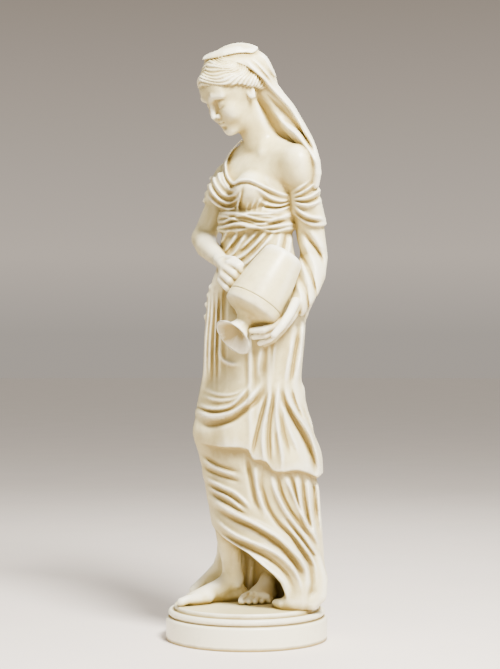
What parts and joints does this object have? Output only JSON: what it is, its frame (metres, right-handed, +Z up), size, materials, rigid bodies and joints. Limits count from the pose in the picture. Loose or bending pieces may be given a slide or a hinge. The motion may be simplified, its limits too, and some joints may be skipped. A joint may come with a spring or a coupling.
{
  "type": "garden statue",
  "caption": "Cast-stone garden statue of a veiled, draped girl tilting a small ewer, standing on a round moulded plinth.",
  "frame": {"origin": "centre of the plinth's flat underside, on the ground", "axes": "+Z up; -Y towards the viewer the statue is pictured by; +X to that viewer's right"},
  "size_m": [0.4606, 0.4683, 1.6914],
  "materials": {
    "figure_stone": "smooth cream cast stone with an ochre wash in the hollows",
    "plinth_stone": "smooth cream cast stone with an ochre wash in the hollows"
  },
  "bodies": {
    "root": {"girl_figure": "figure_stone", "ewer": "figure_stone", "plinth": "plinth_stone"}
  },
  "joints": []
}
